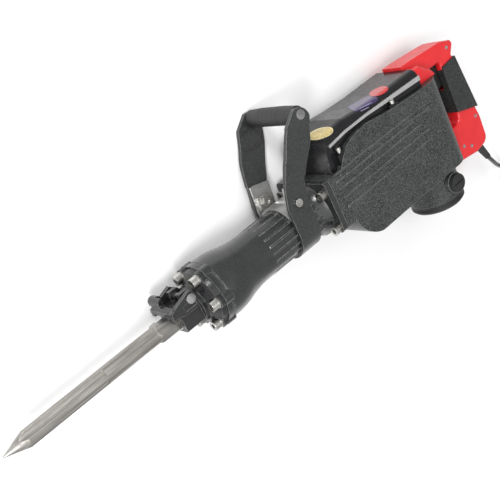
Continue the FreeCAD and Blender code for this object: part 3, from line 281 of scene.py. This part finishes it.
CASE = hammered_paint("case_black", (0.007, 0.008, 0.008), (0.100, 0.110, 0.103), 600, 0.72, 0.34, 0.10)
NOSE = hammered_paint("nose_black", (0.010, 0.010, 0.011), (0.030, 0.031, 0.032), 480, 0.25, 0.32, 0.35)
NECK = hammered_paint("neck_black", (0.007, 0.008, 0.008), (0.036, 0.039, 0.037), 900, 0.20, 0.26, 0.30)
STRAP = hammered_paint("strap_black", (0.022, 0.023, 0.023), (0.050, 0.053, 0.052), 420, 0.06, 0.30, 0.15)
BLACK = moulded("black_plastic", (0.014, 0.014, 0.015), (0.040, 0.041, 0.042), 0.42)
GLOSS = moulded("cover_gloss", (0.007, 0.007, 0.008), (0.010, 0.010, 0.012), 0.24, 300, 0.03, 0.10)
RED = moulded(
    "handle_red", (0.60, 0.009, 0.013), (0.72, 0.020, 0.024), 0.38, 900, 0.08, 0.12, (0.90, 0.12, 0.11)
)
RUBBER = moulded("seal_rubber", (0.012, 0.012, 0.013), (0.040, 0.041, 0.042), 0.55, 700, 0.25)
SHEATH = moulded("cord_black", (0.012, 0.012, 0.013), (0.035, 0.036, 0.037), 0.34, 1500, 0.12, 0.3)
ZINC = machined("bolt_zinc", (0.66, 0.65, 0.62), (0.36, 0.35, 0.33), 0.26, (1, 6, 6), 0.2)
SADDLE = machined("saddle_zinc", (0.60, 0.60, 0.59), (0.40, 0.40, 0.39), 0.38, (1, 1, 8), 0.25)
STEEL = machined("tool_steel", (0.50, 0.50, 0.50), (0.25, 0.25, 0.25), 0.28, (8, 1, 8), 0.25)
ALLOY = machined("light_alloy", (0.62, 0.63, 0.64), (0.42, 0.43, 0.44), 0.45, (1, 1, 1), 0.4)
BRIGHT = machined("rail_bright", (0.82, 0.82, 0.82), (0.60, 0.60, 0.60), 0.26, (0.05, 1, 1), 0.2, (1, 1, 1))

for dull in (GLOSS, CASE, NOSE, BLACK, STRAP):
    shader = dull.node_tree.nodes["Principled BSDF"]
    shader.inputs["Specular IOR Level"].default_value = LOW_GLOSS

LOOKS = {
    "bit_steel": chisel_steel(),
    "nose_black": NOSE,
    "tool_steel": STEEL,
    "case_black": CASE,
    "bolt_zinc": ZINC,
    "seal_rubber": RUBBER,
    "light_alloy": ALLOY,
    "motor_iron": laminated_iron(),
    "copper": wound_copper(),
    "cover_gloss": GLOSS,
    "rail_bright": BRIGHT,
    "black_plastic": BLACK,
    "strap_black": STRAP,
    "handle_red": RED,
    "trigger_black": BLACK,
    "cord_black": SHEATH,
}
SPECIAL = {"cylinder_case": NECK, "rear_grip": rubber_grip(), "handle_saddle": SADDLE}


def paint(obj, material):
    obj.data.materials.clear()
    obj.data.materials.append(material)


for entry in frame["record"]["subparts"]:
    name = entry["node"]
    paint(nodes[name], SPECIAL.get(name) or LOOKS[entry["material_slot"]])


# ---------------------------------------------------------------- cord

CORD_D = 0.009
GUARD_END = (0.779, -0.157, -0.004)
COIL_AT = (0.955, -0.318)
route = [
    GUARD_END, (0.796, -0.178, -0.011), (0.817, -0.198, -0.024), (0.843, -0.217, -0.041),
    (0.874, -0.235, -0.056), (0.909, -0.249, -0.0652), (0.947, -0.2575, -0.0653),
]
TURNS = [
    (0.061, -0.0653), (0.052, -0.0653), (0.043, -0.0653),
    (0.043, -0.0560), (0.052, -0.0560), (0.061, -0.0560),
]
STEPS = 16
START_ANGLE = math.radians(97.5)
for step in range(1, len(TURNS) * STEPS - 1):
    turn = step / STEPS
    whole = min(int(turn), len(TURNS) - 1)
    after = min(whole + 1, len(TURNS) - 1)
    share = min(max((turn - whole - 0.75) / 0.25, 0), 1)
    radius = TURNS[whole][0] + (TURNS[after][0] - TURNS[whole][0]) * share
    height = TURNS[whole][1] + (TURNS[after][1] - TURNS[whole][1]) * share
    angle = START_ANGLE - 2 * math.pi * turn
    route.append((COIL_AT[0] + radius * math.cos(angle), COIL_AT[1] + radius * math.sin(angle), height))
route += [(0.957, -0.2570, -0.0560), (0.971, -0.2570, -0.0552), (0.982, -0.2570, -0.0550)]


def nurbs_tube(name, points, radius, material):
    curve = bpy.data.curves.new(name, "CURVE")
    curve.dimensions = "3D"
    spline = curve.splines.new("NURBS")
    spline.points.add(len(points) - 1)
    for point, place in zip(spline.points, points):
        point.co = (*place, 1)
    spline.order_u = 3
    spline.use_endpoint_u = True
    curve.bevel_depth = radius
    curve.bevel_resolution = 6
    curve.resolution_u = 6
    curve.use_fill_caps = True
    curve.materials.append(material)
    made = bpy.data.objects.new(name, curve)
    scene.collection.objects.link(made)
    return made


cord = nurbs_tube("mains_cord", route, CORD_D / 2, SHEATH)
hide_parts("power_cord", "cord_coil")
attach(cord, "housing")

# ---------------------------------------------------------------- stickers on the top cover


def surface_of(*names):
    """One tree of the triangles of some CAD nodes, in the row frame."""
    points, faces = [], []
    for name in names:
        mesh = nodes[name].data
        first = len(points)
        points += [nodes[name].matrix_world @ v.co for v in mesh.vertices]
        faces += [[first + i for i in polygon.vertices] for polygon in mesh.polygons]
    return BVHTree.FromPolygons(points, faces)


cover_surface = surface_of("top_cover")
RAY_START = 0.2


def sticker(name, centre, width, height, tilt, material, power=2.0, lift=0.0003):
    """Thin film pressed on the cover: an oval for power 2, squarer above it."""
    rings, around = 12, 64
    turned = Matrix.Rotation(math.radians(tilt), 3, CAMERA_BACK)
    across, upwards = turned @ CAMERA_RIGHT, turned @ CAMERA_UP
    verts = []
    for ring in range(rings + 1):
        for k in range(around):
            angle = 2 * math.pi * k / around
            reach = ring / rings
            c, s = math.cos(angle), math.sin(angle)
            x = math.copysign(abs(c) ** (2 / power), c) * width / 2 * reach
            y = math.copysign(abs(s) ** (2 / power), s) * height / 2 * reach
            start = Vector(centre) + across * x + upwards * y + CAMERA_BACK * RAY_START
            place, normal = cover_surface.ray_cast(start, -CAMERA_BACK)[:2]
            if place is None:
                place, normal = cover_surface.find_nearest(start - CAMERA_BACK * RAY_START)[:2]
            verts.append(place + normal * lift)
    faces = []
    for ring in range(rings):
        for k in range(around):
            after = (k + 1) % around
            a, b = ring * around, (ring + 1) * around
            faces.append((a + k, b + k, b + after, a + after))
    mesh = bpy.data.meshes.new(name)
    mesh.from_pydata(verts, [], faces)
    mesh.polygons.foreach_set("use_smooth", [True] * len(mesh.polygons))
    mesh.materials.append(material)
    made = bpy.data.objects.new(name, mesh)
    scene.collection.objects.link(made)
    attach(made, "housing")
    return made


def film(name, base, other, rough, metallic=0.0, scale=120):
    s = Shader(name, base, rough, metallic)
    cloud = s.noise(scale, 4, 0.6)
    tone = s.mix(s.ramp(cloud, (0.4, 0.0), (0.65, 1.0)), base, other)
    s.bump(cloud, 0.15, 0.0002)
    s.bsdf.inputs["Coat Weight"].default_value = 0.4
    s.bsdf.inputs["Coat Roughness"].default_value = 0.15
    return s.finish(tone)


GOLD = film("gold_film", (0.62, 0.50, 0.22), (0.44, 0.34, 0.12), 0.34, 0.4)
GOLD_RIM = film("gold_rim_film", (0.80, 0.70, 0.40), (0.62, 0.52, 0.26), 0.30, 0.5)
RED_FILM = film("red_film", (0.55, 0.012, 0.014), (0.34, 0.006, 0.012), 0.24)
VIOLET = film("violet_film", (0.040, 0.018, 0.110), (0.018, 0.010, 0.050), 0.24)
PALE = film("pale_film", (0.30, 0.28, 0.40), (0.16, 0.15, 0.24), 0.3)

sticker("sticker_gold_rim", (0.377, 0.122, 0.044), 0.0415, 0.0215, 15, GOLD_RIM, 2.0, 0.0003)
sticker("sticker_gold", (0.377, 0.122, 0.044), 0.0370, 0.0175, 15, GOLD, 2.0, 0.0006)
sticker("sticker_violet", (0.487, 0.119, 0.044), 0.052, 0.019, 29, VIOLET, 5.0, 0.0003)
sticker("sticker_red", (0.529, 0.120, 0.046), 0.0345, 0.0170, 27, RED_FILM, 2.2, 0.0006)
sticker("stripe_upper", (0.483, 0.1135, 0.048), 0.028, 0.0012, 29, PALE, 6.0, 0.0007)
sticker("stripe_lower", (0.477, 0.1100, 0.050), 0.018, 0.0012, 29, PALE, 6.0, 0.0007)

# ---------------------------------------------------------------- floor and light

floor_shader = Shader("floor", (0.92, 0.92, 0.92), 0.85)
floor_tone = floor_shader.ramp(floor_shader.noise(3.0, 2), (0.3, 0.90), (0.7, 0.93))
floor_mesh = bpy.data.meshes.new("floor")
signs = ((-1, -1), (1, -1), (1, 1), (-1, 1))
corners = [(x * FLOOR_SPAN, y * FLOOR_SPAN, FLOOR_Z - FLOOR_GAP) for x, y in signs]
floor_mesh.from_pydata(corners, [], [(0, 1, 2, 3)])
floor_mesh.materials.append(floor_shader.finish(floor_tone))
floor = bpy.data.objects.new("floor", floor_mesh)
scene.collection.objects.link(floor)

world = bpy.data.worlds.new("World")
world.use_nodes = True
world.node_tree.nodes["Background"].inputs["Color"].default_value = (1, 1, 1, 1)
world.node_tree.nodes["Background"].inputs["Strength"].default_value = 0.60
scene.world = world


def softbox(name, at, aim, width, height, power):
    data = bpy.data.lights.new(name, "AREA")
    data.shape = "RECTANGLE"
    data.size, data.size_y = width, height
    data.energy = power
    made = bpy.data.objects.new(name, data)
    scene.collection.objects.link(made)
    made.location = at
    made.rotation_euler = (Vector(aim) - Vector(at)).to_track_quat("-Z", "Y").to_euler()
    return made


MIDDLE = (0.30, 0.02, 0.0)
softbox("key", (-0.4, 1.9, 1.5), MIDDLE, 0.5, 0.4, 26)
softbox("front", (-1.3, 0.1, 1.6), MIDDLE, 0.6, 0.3, 22)
overhead = bpy.data.lights.new("overhead", "SUN")
overhead.energy = 1.1
overhead.angle = math.radians(75)
overhead_lamp = bpy.data.objects.new("overhead", overhead)
overhead_lamp.rotation_euler = (math.radians(6), math.radians(-14), 0)
scene.collection.objects.link(overhead_lamp)

scene.view_settings.view_transform = "Standard"
